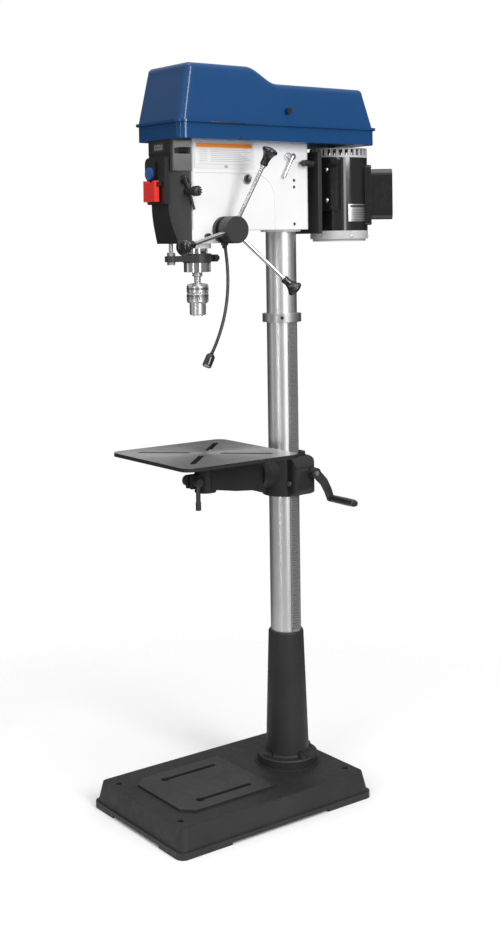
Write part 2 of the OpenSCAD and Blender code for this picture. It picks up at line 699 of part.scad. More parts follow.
module spring_housing() {
  color(black) difference() {
    rod_x(-face_r - 24, -face_r - gap, feed_y, feed_z, 32);
    rod_x(-face_r - 21, -face_r - 4, feed_y, feed_z, 29);
    rod_x(-face_r - 22, -face_r + 1, feed_y, feed_z, 10 + fit);
  }
}
module return_spring() {
  turns = 4;
  n = 20;
  inner = [for (i = [0 : turns * n]) let (a = i * 360 / n, r = 12 + 3.6 * i / n) r * [cos(a), sin(a)]];
  outer = [for (i = [turns * n : -1 : 0]) let (a = i * 360 / n, r = 13 + 3.6 * i / n) r * [cos(a), sin(a)]];
  color(steel) translate([-face_r - 19, feed_y, feed_z]) rotate([90, 0, 90])
    linear_extrude(13) polygon(concat(inner, outer));
}
module quill_lock() {
  y = -spindle_y - 11;
  color(black) {
    rod_x(quill_r + gap, 63, y, 1384, 4);
    rod_x(face_r + gap, face_r + 9, y, 1384, 7.5);
    rod_x(face_r + 8, face_r + 12, y, 1384, 5.5);
  }
}

// ---------- front cover and switches ----------
module cover_solid(t) {
  over = t > 0 ? 1 : 0;                // the cavity runs past the open faces
  intersection() {
    translate([0, 0, barrel_foot - 1]) linear_extrude(171) polygon([
      [-face_r + t, cover_back + over], [face_r - t, cover_back + over],
      [face_r - t, cover_back - 4],
      [36 - t, cover_front + t], [t - 36, cover_front + t], [t - face_r, cover_back - 4]]);
    side_prism(-70, 70, concat([[cover_back + 2, barrel_foot - over], [chin_y + t, barrel_foot - over]],
      [for (i = [0 : 6]) [chin_y + t + (cover_front - chin_y) * sin(15 * i), 1462 - 92 * (1 - i / 6)]],
      [[cover_front + t, 1538], [cover_back + 2, 1538]]));
  }
}
module bezel_plan(t, back) {
  polygon([
    [t - 62, back], [62 - t, back], [51 - t, -180 + t],
    [46 - t, cover_front + t], [t - 46, cover_front + t], [t - 51, -180 + t]]);
}
module front_cover() {
  color(black) {
    difference() {
      union() {
        cover_solid(0);
        translate([0, 0, 1537]) linear_extrude(head_top - 1537) bezel_plan(0, cover_back);
        rod_x(50, 60.6, key_y, key_z, 8);
        translate([key_x - 3, key_y, key_z]) rotate([key_lean, 0, 0]) block([-9, -6.5, 20], [6, 6.5, 30]);
      }
      cover_solid(3);
      translate([0, 0, 1537.5]) linear_extrude(head_top - 1540.5) bezel_plan(3, cover_back + 1);
      block([-28, -175, 1530], [28, cover_back + 1, 1540]);
      block([-60, cover_front - 5, 1568], [60, cover_front + 1.5, 1577]);
      translate([56.5, -160, 1584]) rotate([0, 0, 14]) block([-5, -18, -7.5], [12, 18, 7.5]);
      block([-26, cover_front - 1, 1582], [20, cover_front + 1.5, 1604]);
      translate([key_x, key_y, key_z]) rotate([key_lean, 0, 0]) block([-3.4, -3.4, 10], [9, 3.4, 40]);
    }
    translate([54, -160, 1584]) rotate([0, 0, 14]) rod_y(-17.8, 17.8, 0, 0, 6.2);
  }
}
module depth_display() {
  color([0.10, 0.12, 0.11]) block([-25.8, cover_front + 0.1, 1582.2], [19.8, cover_front + 1.4, 1603.8]);
}
module switch_box() {
  color(dark) difference() {
    union() {
      translate([0, box_back, 1515]) rotate([90, 0, 0]) slab(84, 110, 8, 6);
      translate([-20, box_back, 1543]) rotate([90, 0, 0]) slab(44, 52, 13, 14);
      translate([33.5, box_back, 1515]) rotate([90, 0, 0]) slab(17, 110, 13, 3);
      for (s = [-1, 1])
        block([s * 27.2 - 2.4, hinge_y - 4, hinge_z - 5], [s * 27.2 + 2.4, box_back, hinge_z + 5]);
    }
    rod_y(-210, -190.5, button_x, button_z, button_r + 0.3);
    rod_x(-29, 29, hinge_y, hinge_z, 2 + fit);
    block([-24.8, -215, paddle_foot - 3], [24.8, -195.4, 1517]);
  }
}
module start_button() {
  color([0.05, 0.35, 0.70]) rod_y(-206, -195, button_x, button_z, button_r);
}
module stop_paddle() {
  color([0.80, 0.07, 0.08]) {
    difference() {
      block([-24, -217, paddle_foot], [24, -204, paddle_top]);
      rod_y(-220, -200, 0, paddle_top + 22, 28);
      block([-21, -214, paddle_foot - 1], [21, -203, hinge_z - 8]);
    }
    rod_x(-29, -20, hinge_y, hinge_z, 2);
    rod_x(20, 29, hinge_y, hinge_z, 2);
  }
}
module chuck_key() {
  color(dark) translate([key_x, key_y, key_z]) {
    rotate([key_lean, 0, 0]) rod_z(-44, 40, 0, 0, 3);
    rod_x(-3, 24, 0, 0, 8);
    difference() {
      rod_x(22, 36, 0, 0, 12);
      for (i = [0 : 11]) rotate([i * 30, 0, 0]) block([30, -1.2, 9], [37, 1.2, 13]);
    }
    translate([36, 0, 0]) rotate([0, 90, 0]) cylinder(h = 3, r1 = 9, r2 = 4);
    rod_x(36, 44, 0, 0, 3.5);
  }
}

// ---------- lamp ----------
function bezier(p, t) =
  pow(1 - t, 3) * p[0] + 3 * t * pow(1 - t, 2) * p[1] + 3 * t * t * (1 - t) * p[2] + pow(t, 3) * p[3];
module gooseneck() {
  steps = 28;
  sec = [for (a = [0 : 30 : 330]) 4 * [cos(a), sin(a)]];
  pts = [for (i = [0 : steps]) bezier(neck, i / steps)];
  color(black) {
    swept([for (i = [0 : steps])
      ring(pts[i], unit(pts[min(i + 1, steps)] - pts[max(i - 1, 0)]), [1, 0, 0], sec)]);
    rod_z(barrel_foot - 5, barrel_foot - gap, lamp_root[0], lamp_root[1], 9);
    rod_z(barrel_foot - 5, barrel_foot + 11, lamp_root[0], lamp_root[1], 6);
  }
}
module lamp_head() {
  color(black) translate(lamp_tip) along(lamp_dir) difference() {
    rotate_extrude() polygon([[0, -6], [5.5, -6], [6.5, 0], [9, 4], [12, 10], [12, 32], [0, 32]]);
    translate([0, 0, 26]) cylinder(h = 7, r = 10);
    translate([0, 0, -7]) cylinder(h = 8, r = 4.3);
  }
  color(chrome) translate(lamp_tip) along(lamp_dir) translate([0, 0, 26]) cylinder(h = 5, r = 9.9);
}
module lamp_switch() {
  color(chrome) translate([face_r - 1, switch_y, switch_z]) rotate([0, 78, 0]) rotate_extrude() polygon([
    [0, -5], [3, -5], [5, -3], [5.8, 0], [5, 3], [2.4, 5.2],
    [2.4, 16], [3.4, 18], [3.4, 20], [2, 21.5], [0, 21.5]]);
}

// ---------- belt tension ----------
module tension_lever() {
  dy = -27;
  dz = -49;
  color(dark) {
    rod_x(45, 70, lever_y, lever_z, 5);
    rod_x(head_r + gap, 71, lever_y, lever_z, 8);
    translate([68, lever_y, lever_z]) along([0, dy, dz]) cylinder(h = 44, r1 = 5, r2 = 3.5);
    translate([68, lever_y - 12, lever_z + 1]) rotate([0, 90, 0])
      rotate_extrude() translate([7, 0]) circle(r = 1.4, $fn = 16);
  }
  color(chrome) translate([68, lever_y, lever_z])
    along([0, dy, dz]) translate([0, 0, 44]) cylinder(h = 13, r = 4.6);
}
module slide_lock_knob() {
  color(dark) {
    rod_x(slide_x + slide_d / 2 + gap, 72, lock_y, slide_z, 5);
    rod_x(head_r + gap, 76, lock_y, slide_z, 8);
    block([66, lock_y - 17, slide_z - 3], [84, lock_y + 17, slide_z + 3]);
  }
}

// ---------- motor ----------
module motor_slide() {
  color(dark) {
    for (s = [-1, 1]) rod_y(112, plate_y + 1, s * slide_x, slide_z, slide_d / 2);
    difference() {
      union() {
        block([-62, plate_y, 1388], [62, plate_y + 12, 1592]);
        block([-52, plate_y + 11, 1412], [0, motor_y - 40, 1440]);
        block([-52, plate_y + 11, 1530], [0, motor_y - 40, 1558]);
      }
      rod_z(1380, 1600, 0, motor_y, motor_r + gap);
    }
  }
}
module motor_housing() {
  slots = 30;
  color(black) translate([0, motor_y, 0]) difference() {
    rod_z(bell_z, vent_z, 0, 0, motor_r - 0.3, $fn = 96);
    rod_z(bell_z - 1, vent_z + 1, 0, 0, motor_r - 6);
  }
  color(iron) translate([0, motor_y, 0]) {
    difference() {
      union() {
        rod_z(motor_bot + 6, bell_z, 0, 0, motor_r);
        rod_z(motor_bot, motor_bot + 7, 0, 0, motor_r - 6);
      }
      rod_z(motor_bot + 12, bell_z + 1, 0, 0, motor_r - 8);
      rod_z(motor_bot + 4, bell_z + 1, 0, 0, 8 + fit);
    }
    difference() {
      rod_z(vent_z, motor_top, 0, 0, motor_r);
      rod_z(vent_z - 1, motor_top - 5, 0, 0, motor_r - 8);
      rod_z(vent_z, motor_top + 1, 0, 0, 8 + fit);
      for (i = [0 : slots - 1])
        rotate(i * 360 / slots) block([motor_r - 12, -4.6, vent_z + 5], [motor_r + 2, 4.6, motor_top - 3]);
    }
  }
}
module motor_rotor() {
  blades = 9;
  color(steel) translate([0, motor_y, 0]) {
    rod_z(motor_bot + 5, 1697, 0, 0, 8);
    rod_z(1420, 1545, 0, 0, 58);
    rod_z(1554, 1558, 0, 0, 60);
    for (i = [0 : blades - 1]) rotate(i * 360 / blades) block([14, -1.5, 1557], [60, 1.5, 1576]);
  }
}
module motor_covers() {
  color(black) {
    translate([0, motor_y, 0]) rotate(-60) difference() {
      translate([66, 0, 1513]) rotate([0, 90, 0]) slab(134, 60, 24, 8);
      rod_z(1440, 1590, 0, 0, motor_r + gap);
    }
    translate([0, motor_y, 0]) rotate(53) difference() {
      union() {
        translate([64, 0, 1485.5]) rotate([0, 90, 0]) slab(153, 78, 17, 8);
        translate([76, 0, 1487.5]) rotate([0, 90, 0]) slab(129, 62, 60, 18);
      }
      rod_z(1400, 1570, 0, 0, motor_r + gap);
    }
  }
}

// ---------- belt cover ----------
module belt_tray() {
  wall = 3;
  color(blue) difference() {
    union() {
      difference() {
        union() {
          translate([0, lip_mid, tray_foot]) slab(cover_w - 12, lip_d - 12, seam_z - tray_foot - 1, 20);
          translate([0, lip_mid, seam_z - lip_h]) slab(cover_w, lip_d, lip_h, 24);
        }
        translate([0, lip_mid, tray_foot + wall])
          slab(cover_w - 12 - 2 * wall, lip_d - 12 - 2 * wall, 60, 17);
      }
      for (y = [-20, 240]) {
        block([hinge_x - 3, y - 24, seam_z - 5], [-cover_w / 2 + 5, y - 17, seam_z]);
        block([hinge_x - 3, y + 17, seam_z - 5], [-cover_w / 2 + 5, y + 24, seam_z]);
        rod_y(y - 23, y + 23, hinge_x, seam_z - 1, 1.8);
      }
    }
    rod_z(tray_foot - 1, tray_foot + 5, 0, -spindle_y, 20);
    rod_z(tray_foot - 1, tray_foot + 5, 0, idler_y, 14);
    block([-13, motor_y - 33, tray_foot - 1], [13, motor_y + 11, tray_foot + 5]);
  }
}
// One level of the lid: half width, front, rear and height, shrunk by the wall thickness
module lid_level(hw, y0, y1, z, t) {
  translate([0, (y0 + y1) / 2, z]) slab(2 * (hw - t), y1 - y0 - 2 * t, 0.01, max(14 - t, 4), $fn = 32);
}
module lid_solid(t) {
  base_z = seam_z + 0.3 - (t > 0 ? 1 : 0);
  hull() {
    lid_level(96, -188, 60, base_z, t);
    lid_level(87.5, -163, 26, lid_top - 9 - t, t);
    lid_level(82, -157, 20, lid_top - t, t);
  }
  hull() {
    lid_level(96, -120, 399, base_z, t);
    lid_level(90, -120, 370, lid_low - 8 - t, t);
    lid_level(84, -120, 363, lid_low - t, t);
  }
  hull() {
    lid_level(90, -60, 92, lid_low - 8 - t, t);
    lid_level(84, -60, 84, lid_low - t, t);
    lid_level(87.5, -60, 26, lid_top - 9 - t, t);
    lid_level(82, -60, 20, lid_top - t, t);
  }
}
module belt_lid() {
  color(blue) difference() {
    union() {
      difference() {
        lid_solid(0);
        lid_solid(3);
      }
      for (y = [-20, 240]) {
        rod_y(y - 15, y + 15, hinge_x, seam_z - 1, 4);
        block([hinge_x, y - 15, seam_z + 0.3], [-93.5, y + 15, seam_z + 3]);
      }
    }
    for (y = [-20, 240]) rod_y(y - 16, y + 16, hinge_x, seam_z - 1, 1.8 + fit);
    rod_x(80, 110, 122, 1684, 4 + fit);
  }
}
module lid_knob() {
  color(dark) {
    rod_x(84, 97, 122, 1684, 4);
    rod_x(95.2, 103, 122, 1684, 7.5);
  }
}

// ---------- pulleys and belts ----------
// Step pulley on its axis: one V groove per step, radii listed from the lowest step up
module step_pulley(radii, bore) {
  n = len(radii);
  translate([0, 0, pulley_foot]) rotate_extrude($fn = 64) polygon(concat([[bore, 0]],
    [for (i = [0 : n - 1]) each let (r = radii[i], z = i * step_h)
      [[r, z + 0.3], [r, z + 3], [r - 9, z + 6.5], [r - 9, z + 13.5], [r, z + 17], [r, z + 19.7]]],
    [[bore, n * step_h]]));
}
module spindle_pulley() {
  color(iron) translate([0, -spindle_y, 0]) {
    step_pulley(spindle_steps, 10 + fit);
    difference() {
      rod_z(1548, pulley_foot + 1, 0, 0, 17.5);
      rod_z(1540, pulley_foot + 2, 0, 0, 10 + fit);
    }
  }
}
module idler_pulley() {
  color(iron) translate([0, idler_y, 0]) {
    step_pulley(idler_steps, 8);
    rod_z(1568, pulley_foot + 78, 0, 0, 10);
  }
}
module motor_pulley() { color(iron) translate([0, motor_y, 0]) step_pulley(motor_steps, 8 + fit); }
// V belt round two pulleys of radius ra and rb at ya and yb
module belt(ya, ra, yb, rb, level) {
  z = pulley_foot + (level + 0.5) * step_h;
  a = asin((ra - rb) / (yb - ya));
  n = 18;
  angles_b = [for (i = [0 : n]) a + (180 - 2 * a) * i / n];
  angles_a = [for (i = [0 : n]) 180 - a + (180 + 2 * a) * i / n];
  sec = [[0, 6.2], [0, -6.2], [-8, -3.3], [-8, 3.3]];
  rings = concat(
    [for (t = angles_b) [for (q = sec) [(rb + q[0]) * cos(t), yb + (rb + q[0]) * sin(t), z + q[1]]]],
    [for (t = angles_a) [for (q = sec) [(ra + q[0]) * cos(t), ya + (ra + q[0]) * sin(t), z + q[1]]]]);
  swept(rings, true);
}
module front_belt() {
  color(black) belt(-spindle_y, spindle_steps[front_level], idler_y, idler_steps[front_level], front_level);
}
module rear_belt() {
  color(black) belt(idler_y, idler_steps[rear_level], motor_y, motor_steps[rear_level], rear_level);
}

base();
flange_bolts();
column_base();
column();
rack();
rack_collar();
set_screws();
table_bracket();
bracket_lock_lever();
elevating_gear();
worm_shaft();
crank_arm();
crank_grip();
table_arm();
tilt_bolt();
table();
table_lock_lever();
head_casting();
quill();
quill_collar();
depth_rod();
depth_nut();
spindle();
spindle_bearings();
chuck_body();
chuck_sleeve();
chuck_jaw_1();
chuck_jaw_2();
chuck_jaw_3();
feed_shaft();
feed_dial();
feed_hub();
feed_rods();
feed_knobs();
spring_housing();
return_spring();
quill_lock();
front_cover();
depth_display();
switch_box();
start_button();
stop_paddle();
chuck_key();
lamp_switch();
gooseneck();
lamp_head();
tension_lever();
slide_lock_knob();
motor_slide();
motor_housing();
motor_rotor();
motor_covers();
belt_tray();
belt_lid();
lid_knob();
spindle_pulley();
idler_pulley();
motor_pulley();
front_belt();
rear_belt();
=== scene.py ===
import json
import math
import bmesh
import bpy
from mathutils import Matrix, Vector


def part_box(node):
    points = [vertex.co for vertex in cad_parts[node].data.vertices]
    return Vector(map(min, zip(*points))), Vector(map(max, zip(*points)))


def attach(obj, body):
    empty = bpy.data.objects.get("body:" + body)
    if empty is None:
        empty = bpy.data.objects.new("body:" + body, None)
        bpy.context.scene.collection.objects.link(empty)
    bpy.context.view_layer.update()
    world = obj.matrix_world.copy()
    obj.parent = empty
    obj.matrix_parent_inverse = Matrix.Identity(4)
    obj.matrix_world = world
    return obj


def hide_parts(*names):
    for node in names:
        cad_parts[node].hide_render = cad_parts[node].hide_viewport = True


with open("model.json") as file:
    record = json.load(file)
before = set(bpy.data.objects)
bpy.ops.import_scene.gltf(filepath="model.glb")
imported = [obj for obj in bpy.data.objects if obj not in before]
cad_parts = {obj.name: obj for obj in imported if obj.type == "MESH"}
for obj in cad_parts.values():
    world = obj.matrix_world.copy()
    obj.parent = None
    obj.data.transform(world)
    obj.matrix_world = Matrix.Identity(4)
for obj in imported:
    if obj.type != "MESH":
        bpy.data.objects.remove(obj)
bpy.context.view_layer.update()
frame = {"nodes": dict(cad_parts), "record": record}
NODES = frame["nodes"]
SLOTS = {row["node"]: row["material_slot"] for row in frame["record"]["subparts"]}
BODIES = {
    node: body
    for body, members in frame["record"]["behaviour"]["bodies"].items()
    for node in members
}
MM = 0.001

# Places in the CAD, in millimetres.
SEAM = 1653.3                              # where the lid meets its tray
LID_TOP, LID_LOW = 1787.0, 1750.0          # the two levels of the lid's roof
HINGE_X, HINGE_Z = -107.5, 1652            # the lid's hinge line
PAD_TOP, PAD_HALF, PAD_REAR = 68.0, 119.0, 38.0
TRAY_FLOOR = 1610
SPINDLE_Y = -84
MOTOR_Y = 361
NECK_ROOT, NECK_TIP = (34, -27, 1368), (59, -88, 1106)


# ---------- node materials ----------
class Finish:
    """A procedural material: texture nodes that feed one Principled shader."""

    def __init__(self, name, colour, rough, metal=0.0, coat=0.0, coat_rough=0.1, specular=0.5):
        self.material = bpy.data.materials.new(name)
        self.material.use_nodes = True
        self.tree = self.material.node_tree
        self.shader = self.tree.nodes["Principled BSDF"]
        self.shader.inputs["Base Color"].default_value = (*colour, 1.0)
        self.shader.inputs["Roughness"].default_value = rough
        self.shader.inputs["Metallic"].default_value = metal
        self.shader.inputs["Coat Weight"].default_value = coat
        self.shader.inputs["Coat Roughness"].default_value = coat_rough
        self.shader.inputs["Specular IOR Level"].default_value = specular
        self.colour, self.rough = colour, rough
        self.place = self.tree.nodes.new("ShaderNodeTexCoord").outputs["Object"]
        self.normal = None

    def link(self, a, b):
        self.tree.links.new(a, b)

    def stretched(self, x, y, z):
        """Object coordinates multiplied along each axis."""
        node = self.tree.nodes.new("ShaderNodeMapping")
        node.inputs["Scale"].default_value = (x, y, z)
        self.link(self.place, node.inputs["Vector"])
        return node.outputs["Vector"]

    def noise(self, scale, detail=3.0, rough=0.55, where=None):
        node = self.tree.nodes.new("ShaderNodeTexNoise")
        node.inputs["Scale"].default_value = scale
        node.inputs["Detail"].default_value = detail
        node.inputs["Roughness"].default_value = rough
        node.inputs["Distortion"].default_value = 0.0
        self.link(where or self.place, node.inputs["Vector"])
        return node.outputs["Fac"]

    def cells(self, scale, where=None):
        node = self.tree.nodes.new("ShaderNodeTexVoronoi")
        node.inputs["Scale"].default_value = scale
        self.link(where or self.place, node.inputs["Vector"])
        return node.outputs["Distance"]

    def rings(self, scale, warp):
        """Concentric rings about the upright through the object's own origin."""
        node = self.tree.nodes.new("ShaderNodeTexWave")
        node.wave_type = "RINGS"
        node.rings_direction = "Z"
        node.inputs["Scale"].default_value = scale
        node.inputs["Distortion"].default_value = warp
        node.inputs["Detail"].default_value = 2.0
        self.link(self.place, node.inputs["Vector"])
        return node.outputs["Fac"]

    def spread(self, fac, low, high, start=0.3, end=0.7):
        """Maps a texture value between start and end to low and high."""
        node = self.tree.nodes.new("ShaderNodeMapRange")
        for key, value in (("From Min", start), ("From Max", end), ("To Min", low), ("To Max", high)):
            node.inputs[key].default_value = value
        self.link(fac, node.inputs["Value"])
        return node.outputs["Result"]

    def vary_rough(self, fac, low, high):
        self.link(self.spread(fac, low, high), self.shader.inputs["Roughness"])

    def vary_colour(self, fac, dark, light, start=0.3, end=0.7):
        """Blends between two shades of the colour, given as factors."""
        node = self.tree.nodes.new("ShaderNodeValToRGB")
        for stop, place, shade in zip(node.color_ramp.elements, (start, end), (dark, light)):
            stop.position = place
            stop.color = (*[min(1.0, c * shade) for c in self.colour], 1.0)
        self.link(fac, node.inputs["Fac"])
        self.link(node.outputs["Color"], self.shader.inputs["Base Color"])
        return node.outputs["Color"]

    def bump(self, height, depth_mm, strength=1.0):
        node = self.tree.nodes.new("ShaderNodeBump")
        node.inputs["Distance"].default_value = depth_mm * MM
        node.inputs["Strength"].default_value = strength
        self.link(height, node.inputs["Height"])
        if self.normal:
            self.link(self.normal, node.inputs["Normal"])
        self.normal = node.outputs["Normal"]
        self.link(self.normal, self.shader.inputs["Normal"])

    def brushed(self, amount):
        """Anisotropic highlights round the upright through the object's own origin."""
        self.shader.inputs["Anisotropic"].default_value = amount
        node = self.tree.nodes.new("ShaderNodeTangent")
        node.direction_type = "RADIAL"
        node.axis = "Z"
        self.link(node.outputs["Tangent"], self.shader.inputs["Tangent"])


def casting(name, colour, rough):
    """Powder-coated casting: a fine grain over slow unevenness."""
    f = Finish(name, colour, rough, specular=0.35)
    f.vary_colour(f.noise(9, 4), 0.8, 1.25)
    f.vary_rough(f.noise(60, 3), rough - 0.07, rough + 0.09)
    f.bump(f.noise(160, 3), 0.35)
    f.bump(f.noise(1400, 2), 0.16)
    return f.material


def paint(name, colour, rough, coat, grain=130, depth=0.002, specular=0.5):
    """Sprayed gloss paint with a slight orange peel."""
    f = Finish(name, colour, rough, coat=coat, coat_rough=0.05, specular=specular)
    f.vary_colour(f.noise(5, 2), 0.96, 1.04)
    f.vary_rough(f.noise(18, 2), rough - 0.03, rough + 0.04)
    f.bump(f.noise(grain, 1), depth)
    return f.material


def ground_steel(name, colour, rough):
    """Ground or turned steel: fine lines round the part's own upright."""
    f = Finish(name, colour, rough, metal=1.0)
    scratches = f.noise(22, 4, 0.7, f.stretched(1, 1, 8))
    f.vary_rough(scratches, rough - 0.02, rough + 0.03)
    f.vary_colour(f.noise(6, 3), 0.92, 1.05)
    f.bump(scratches, 0.0003)
    return f.material


def black_oxide(name, colour, rough):
    f = Finish(name, colour, rough, metal=0.55)
    f.vary_colour(f.noise(40, 3), 0.75, 1.4)
    f.vary_rough(f.noise(90, 3), rough - 0.06, rough + 0.1)
    f.bump(f.noise(900, 2), 0.03)
    return f.material


def moulding(name, colour, rough, grain=1100, depth=0.05):
    """Moulded plastic with a spark-eroded grain."""
    f = Finish(name, colour, rough, coat=0.15, coat_rough=0.12, specular=0.4)
    f.vary_colour(f.noise(12, 2), 0.88, 1.12)
    f.vary_rough(f.noise(220, 2), rough - 0.05, rough + 0.06)
    f.bump(f.cells(grain), depth)
    return f.material


def gloss_moulding(name, colour, rough):
    f = Finish(name, colour, rough, coat=0.4, coat_rough=0.04)
    f.vary_colour(f.noise(25, 2), 0.92, 1.08)
    f.vary_rough(f.noise(80, 2), rough - 0.03, rough + 0.05)
    f.bump(f.noise(300, 1), 0.01)
    return f.material


def plating(name, colour):
    f = Finish(name, colour, 0.08, metal=1.0)
    f.vary_rough(f.noise(120, 3), 0.05, 0.14)
    f.vary_colour(f.noise(30, 2), 0.94, 1.04)
    return f.material


def machined_top(name, colour):
    """A faced table: fine turning marks round its middle, with darker stains."""
    f = Finish(name, colour, 0.36, metal=0.9)
    marks = f.rings(330, 0.5)
    f.vary_colour(f.noise(14, 5, 0.65), 0.82, 1.15)
    f.vary_rough(marks, 0.3, 0.44)
    f.bump(marks, 0.008)
    f.brushed(0.75)
    return f.material


def belt_rubber(name, colour):
    f = Finish(name, colour, 0.8)
    f.vary_colour(f.noise(60, 3), 0.7, 1.5)
    f.vary_rough(f.noise(150, 2), 0.7, 0.9)
    f.bump(f.noise(900, 2), 0.1)
    return f.material


MATERIALS = {
    "black_casting": casting("black_casting", (0.016, 0.016, 0.017), 0.5),
    "column_steel": ground_steel("column_steel", (0.74, 0.74, 0.74), 0.36),
    "bare_steel": ground_steel("bare_steel", (0.5, 0.5, 0.5), 0.38),
    "dark_steel": black_oxide("dark_steel", (0.05, 0.05, 0.053), 0.38),
    "crank_grip": gloss_moulding("crank_grip", (0.018, 0.018, 0.018), 0.25),
    "machined_iron": machined_top("machined_iron", (0.44, 0.44, 0.44)),
    "white_paint": paint("white_paint", (0.84, 0.84, 0.84), 0.3, 0.25),
    "chrome": plating("chrome", (0.75, 0.75, 0.76)),
    "chuck_steel": ground_steel("chuck_steel", (0.7, 0.7, 0.7), 0.32),
    "black_paint": paint("black_paint", (0.028, 0.028, 0.03), 0.42, 0.0, 900, 0.05),
    "black_plastic": moulding("black_plastic", (0.016, 0.016, 0.017), 0.33, depth=0.02),
    "display": gloss_moulding("display", (0.035, 0.04, 0.036), 0.12),
    "start_blue": gloss_moulding("start_blue", (0.03, 0.11, 0.32), 0.3),
    "stop_red": gloss_moulding("stop_red", (0.8, 0.03, 0.022), 0.3),
    "motor_paint": paint("motor_paint", (0.008, 0.008, 0.009), 0.16, 0.8),
    "motor_cover_black": gloss_moulding("motor_cover_black", (0.008, 0.008, 0.009), 0.16),
    "knurl_black": black_oxide("knurl_black", (0.018, 0.018, 0.018), 0.5),
    "lens": gloss_moulding("lens", (0.72, 0.72, 0.7), 0.15),
    "gloss_black": gloss_moulding("gloss_black", (0.008, 0.008, 0.009), 0.12),
    "blue_paint": paint("blue_paint", (0.003, 0.05, 0.16), 0.38, 0.6, specular=0.12),
    "pulley_metal": ground_steel("pulley_metal", (0.55, 0.56, 0.57), 0.35),
    "belt_rubber": belt_rubber("belt_rubber", (0.016, 0.016, 0.016)),
    "pad_black": casting("pad_black", (0.026, 0.026, 0.027), 0.4),
    "bell_metal": casting("bell_metal", (0.5, 0.5, 0.5), 0.4),
    "plate_metal": ground_steel("plate_metal", (0.75, 0.75, 0.75), 0.3),
    "label_paper": paint("label_paper", (0.8, 0.8, 0.8), 0.4, 0.3),
    "label_orange": paint("label_orange", (0.9, 0.27, 0.03), 0.4, 0.3),
    "label_ink": paint("label_ink", (0.35, 0.37, 0.4), 0.5, 0.1),
    "display_ink": gloss_moulding("display_ink", (0.55, 0.57, 0.55), 0.3),
}
for node, thing in NODES.items():
    thing.data.materials.clear()
    thing.data.materials.append(MATERIALS[SLOTS[node]])


# ---------- tools for pieces ----------
class Shape:
    """Collects closed surfaces, given in millimetres, into one mesh."""

    def __init__(self):
        self.bm = bmesh.new()
        self.material = 0

    def skin(self, rings, caps=True):
        """Faces between rings of equal length, with a face over each end unless caps is off."""
        made = [[self.bm.verts.new(Vector(p) * MM) for p in ring] for ring in rings]
        count = len(made[0])
        faces = []
        for here, there in zip(made, made[1:]):
            for j in range(count):
                l = (j + 1) % count
                faces.append(self.bm.faces.new((here[j], here[l], there[l], there[j])))
        if caps:
            faces.append(self.bm.faces.new(made[0][::-1]))
            faces.append(self.bm.faces.new(made[-1]))
        for face in faces:
            face.material_index = self.material

    def lathe(self, profile, where=Matrix(), steps=64, flute=None):
        """Turns [radius, height] points about Z. flute(angle, height) scales the radius."""
        rings = []
        for r, h in profile:
            ring = []
            for i in range(steps):
                a = 2 * math.pi * i / steps
                k = flute(a, h) if flute else 1.0
                ring.append(where @ Vector((r * k * math.cos(a), r * k * math.sin(a), h)))
            rings.append(ring)
        self.skin(rings)

    def slab(self, outline, z0, z1, where=Matrix(), ease=0.6):
        """A plate with this outline and softened rims."""
        def ring(z, t):
            middle = sum((Vector(p) for p in outline), Vector((0, 0))) / len(outline)
            out = []
            for p in outline:
                v = Vector(p) - middle
                out.append(where @ Vector((*(middle + v * (1 - t / v.length)), z)))
            return out
        e = min(ease, (z1 - z0) / 3)
        self.skin([
            ring(z0, e), ring(z0 + e, 0), ring(z1 - e, 0), ring(z1 - 0.3 * e, 0.3 * e), ring(z1, e),
        ])

    def mesh(self, name, angle=38):
        bmesh.ops.remove_doubles(self.bm, verts=self.bm.verts, dist=1e-6)
        bmesh.ops.recalc_face_normals(self.bm, faces=self.bm.faces)
        mesh = bpy.data.meshes.new(name)
        self.bm.to_mesh(mesh)
        self.bm.free()
        smooth(mesh, angle)
        return mesh


def rounded_outline(w, d, r, n=5, centre=(0.0, 0.0)):
    """Rounded rectangle, counter-clockwise."""
    out = []
    for sx, sy, start in ((1, 1, 0), (-1, 1, 90), (-1, -1, 180), (1, -1, 270)):
        for i in range(n + 1):
            a = math.radians(start + 90 * i / n)
            out.append((
                centre[0] + sx * (w / 2 - r) + r * math.cos(a),
                centre[1] + sy * (d / 2 - r) + r * math.sin(a),
            ))
    return out


def facing(normal, place):
    """Puts a shape's own +Z along a direction, its +Y upright, at a place in millimetres."""
    z = Vector(normal).normalized()
    x = Vector((0, 0, 1)).cross(z).normalized()
    return Matrix.Translation(place) @ Matrix((x, z.cross(x), z)).transposed().to_4x4()


def smooth(mesh, angle=38):
    """Smooth shading that keeps the edges sharper than an angle."""
    for face in mesh.polygons:
        face.use_smooth = True
    mesh.set_sharp_from_angle(angle=math.radians(angle))


def add_piece(name, mesh, body, slot, *more, finish=None):
    """A piece in its slot's finish, or another, with more finishes for its faces' material numbers."""
    piece = bpy.data.objects.new(name, mesh)
    bpy.context.scene.collection.objects.link(piece)
    if mesh.materials:
        mesh.materials.clear()
    for each in (finish or slot, *more):
        mesh.materials.append(MATERIALS[each])
    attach(piece, body)
    return piece


def stand_in(name, shape, node, *more, angle=38, finish=None):
    """A piece that takes a CAD node's place, body and slot."""
    piece = add_piece(name, shape.mesh(name, angle), BODIES[node], SLOTS[node], *more, finish=finish)
    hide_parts(node)
    return piece


def applied(piece):
    """Makes the piece's modifiers real."""
    graph = bpy.context.evaluated_depsgraph_get()
    graph.update()
    mesh = bpy.data.meshes.new_from_object(piece.evaluated_get(graph))
    piece.modifiers.clear()
    piece.data = mesh


